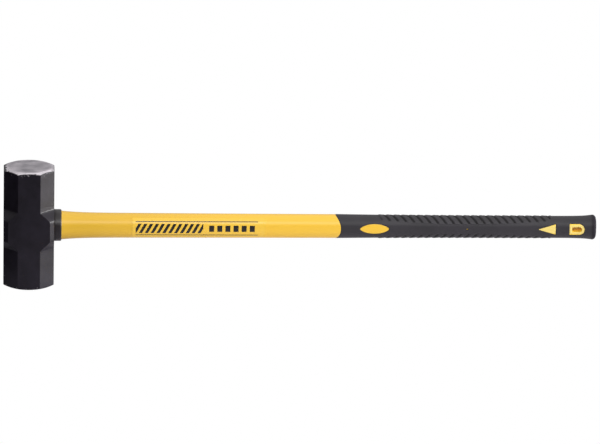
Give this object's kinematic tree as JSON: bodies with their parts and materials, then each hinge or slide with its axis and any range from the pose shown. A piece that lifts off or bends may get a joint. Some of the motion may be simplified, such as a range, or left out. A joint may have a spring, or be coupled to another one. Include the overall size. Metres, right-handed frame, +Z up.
{
  "type": "sledgehammer",
  "caption": "Double-faced octagonal sledgehammer head bonded to a long oval fibreglass handle, with a yellow jacket, a black windowed rubber grip and a hang hole.",
  "frame": {"origin": "middle of the lower striking face, which stands on the ground", "axes": "+Z up along the head's axis, +X along the handle towards the butt, +Y across the head, away from the labelled side"},
  "size_m": [0.914, 0.0776, 0.188],
  "materials": {
    "lacquered_steel": "forged steel, thin black lacquer, ground striking faces",
    "epoxy": "cast amber resin",
    "fibreglass": "pultruded glass-fibre rod",
    "collar_plastic": "satin moulded black plastic",
    "yellow_plastic": "semi-gloss moulded polypropylene",
    "label_film": null,
    "grip_rubber": "matt moulded thermoplastic rubber"
  },
  "bodies": {
    "root": {"head": "lacquered_steel", "epoxy_bond": "epoxy", "fibreglass_core": "fibreglass", "seal_collar": "collar_plastic", "jacket": "yellow_plastic", "label_film": "label_film", "grip": "grip_rubber"}
  },
  "joints": []
}
